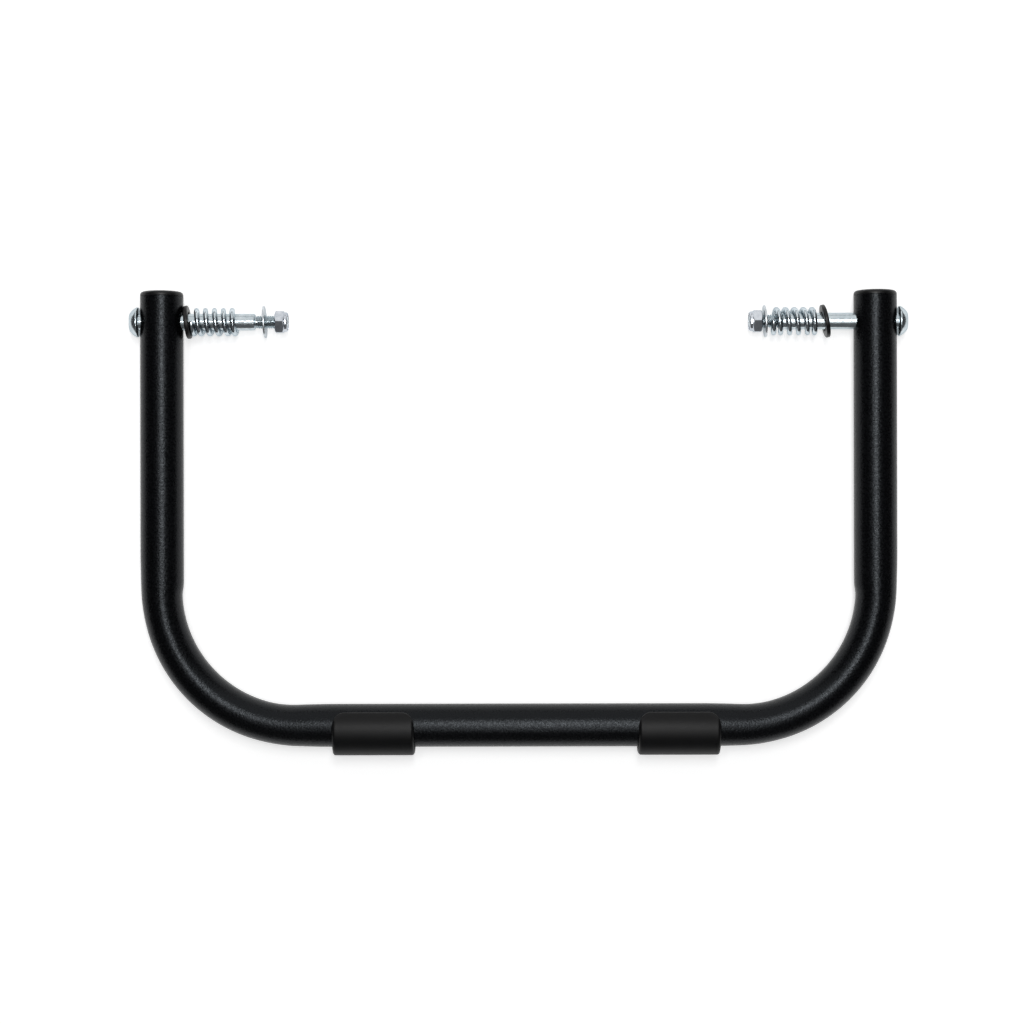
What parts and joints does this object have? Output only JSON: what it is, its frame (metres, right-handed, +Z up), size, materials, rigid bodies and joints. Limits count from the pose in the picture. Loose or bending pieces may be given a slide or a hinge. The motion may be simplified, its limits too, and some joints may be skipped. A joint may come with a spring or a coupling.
{
  "type": "pivoting pull bar",
  "caption": "U-shaped bent tube bar with a spring-loaded pivot bolt through each leg end and clip-on pads on its crossbar.",
  "frame": {"origin": "bottom centre of the whole object as it lies flat on its pads", "axes": "+X across the bar from the left leg to the right leg, +Y from the crossbar to the open end, +Z up"},
  "size_m": [0.466, 0.278, 0.0324],
  "materials": {
    "bar_tube": "fine-textured black powder coat",
    "end_cap": "moulded black plastic, matt",
    "foot_pad": "moulded black rubber, matt",
    "pivot_bolt": "bright zinc plating",
    "friction_washer": "dark nylon, satin",
    "spring": "bright zinc-plated spring wire",
    "flat_washer": "bright zinc plating",
    "lock_nut": "bright zinc plating",
    "nut_insert": "pale nylon"
  },
  "bodies": {
    "bar": {"bar_tube": "bar_tube", "left_end_cap": "end_cap", "right_end_cap": "end_cap", "left_foot_pad": "foot_pad", "right_foot_pad": "foot_pad"},
    "left_spring": {"left_spring": "spring"},
    "left_bolt": {"left_pivot_bolt": "pivot_bolt", "left_lock_nut": "lock_nut", "left_nut_insert": "nut_insert"},
    "left_flat_washer": {"left_flat_washer": "flat_washer"},
    "left_friction_washer": {"left_friction_washer": "friction_washer"},
    "right_spring": {"right_spring": "spring"},
    "right_bolt": {"right_pivot_bolt": "pivot_bolt", "right_lock_nut": "lock_nut", "right_nut_insert": "nut_insert"},
    "right_flat_washer": {"right_flat_washer": "flat_washer"},
    "right_friction_washer": {"right_friction_washer": "friction_washer"}
  },
  "joints": [
    {"name": "left_bolt_pull", "type": "slide", "parent": "bar", "child": "left_spring", "axis": [-1, 0, 0], "range_m": [-0.0007, 0.03], "deforming": ["left_spring"]},
    {"name": "left_bolt_spin", "type": "hinge", "parent": "left_spring", "child": "left_bolt", "pos_m": [-0.17975, 0.12055, 0.0162], "axis": [1, 0, 0], "continuous": true},
    {"name": "left_flat_washer_slide", "type": "slide", "parent": "left_spring", "child": "left_flat_washer", "axis": [1, 0, 0], "range_m": [-0.0002, 0.00575]},
    {"name": "left_friction_washer_slide", "type": "slide", "parent": "bar", "child": "left_friction_washer", "axis": [-1, 0, 0], "range_m": [-0.0001, 0.0006]},
    {"name": "right_bolt_pull", "type": "slide", "parent": "bar", "child": "right_spring", "axis": [1, 0, 0], "range_m": [-0.0007, 0.03], "deforming": ["right_spring"]},
    {"name": "right_bolt_spin", "type": "hinge", "parent": "right_spring", "child": "right_bolt", "pos_m": [0.17975, 0.12055, 0.0162], "axis": [1, 0, 0], "continuous": true},
    {"name": "right_flat_washer_slide", "type": "slide", "parent": "right_spring", "child": "right_flat_washer", "axis": [-1, 0, 0], "range_m": [-0.0001, 0.00125]},
    {"name": "right_friction_washer_slide", "type": "slide", "parent": "bar", "child": "right_friction_washer", "axis": [1, 0, 0], "range_m": [-0.0005, 0.01515]}
  ],
  "couplings": [
    {"joint": "left_flat_washer_slide", "follows": "left_bolt_pull", "ratio": 0.18833},
    {"joint": "left_friction_washer_slide", "follows": "left_bolt_pull", "ratio": 0.01667},
    {"joint": "right_flat_washer_slide", "follows": "right_bolt_pull", "ratio": 0.03833},
    {"joint": "right_friction_washer_slide", "follows": "right_bolt_pull", "ratio": 0.50167}
  ]
}
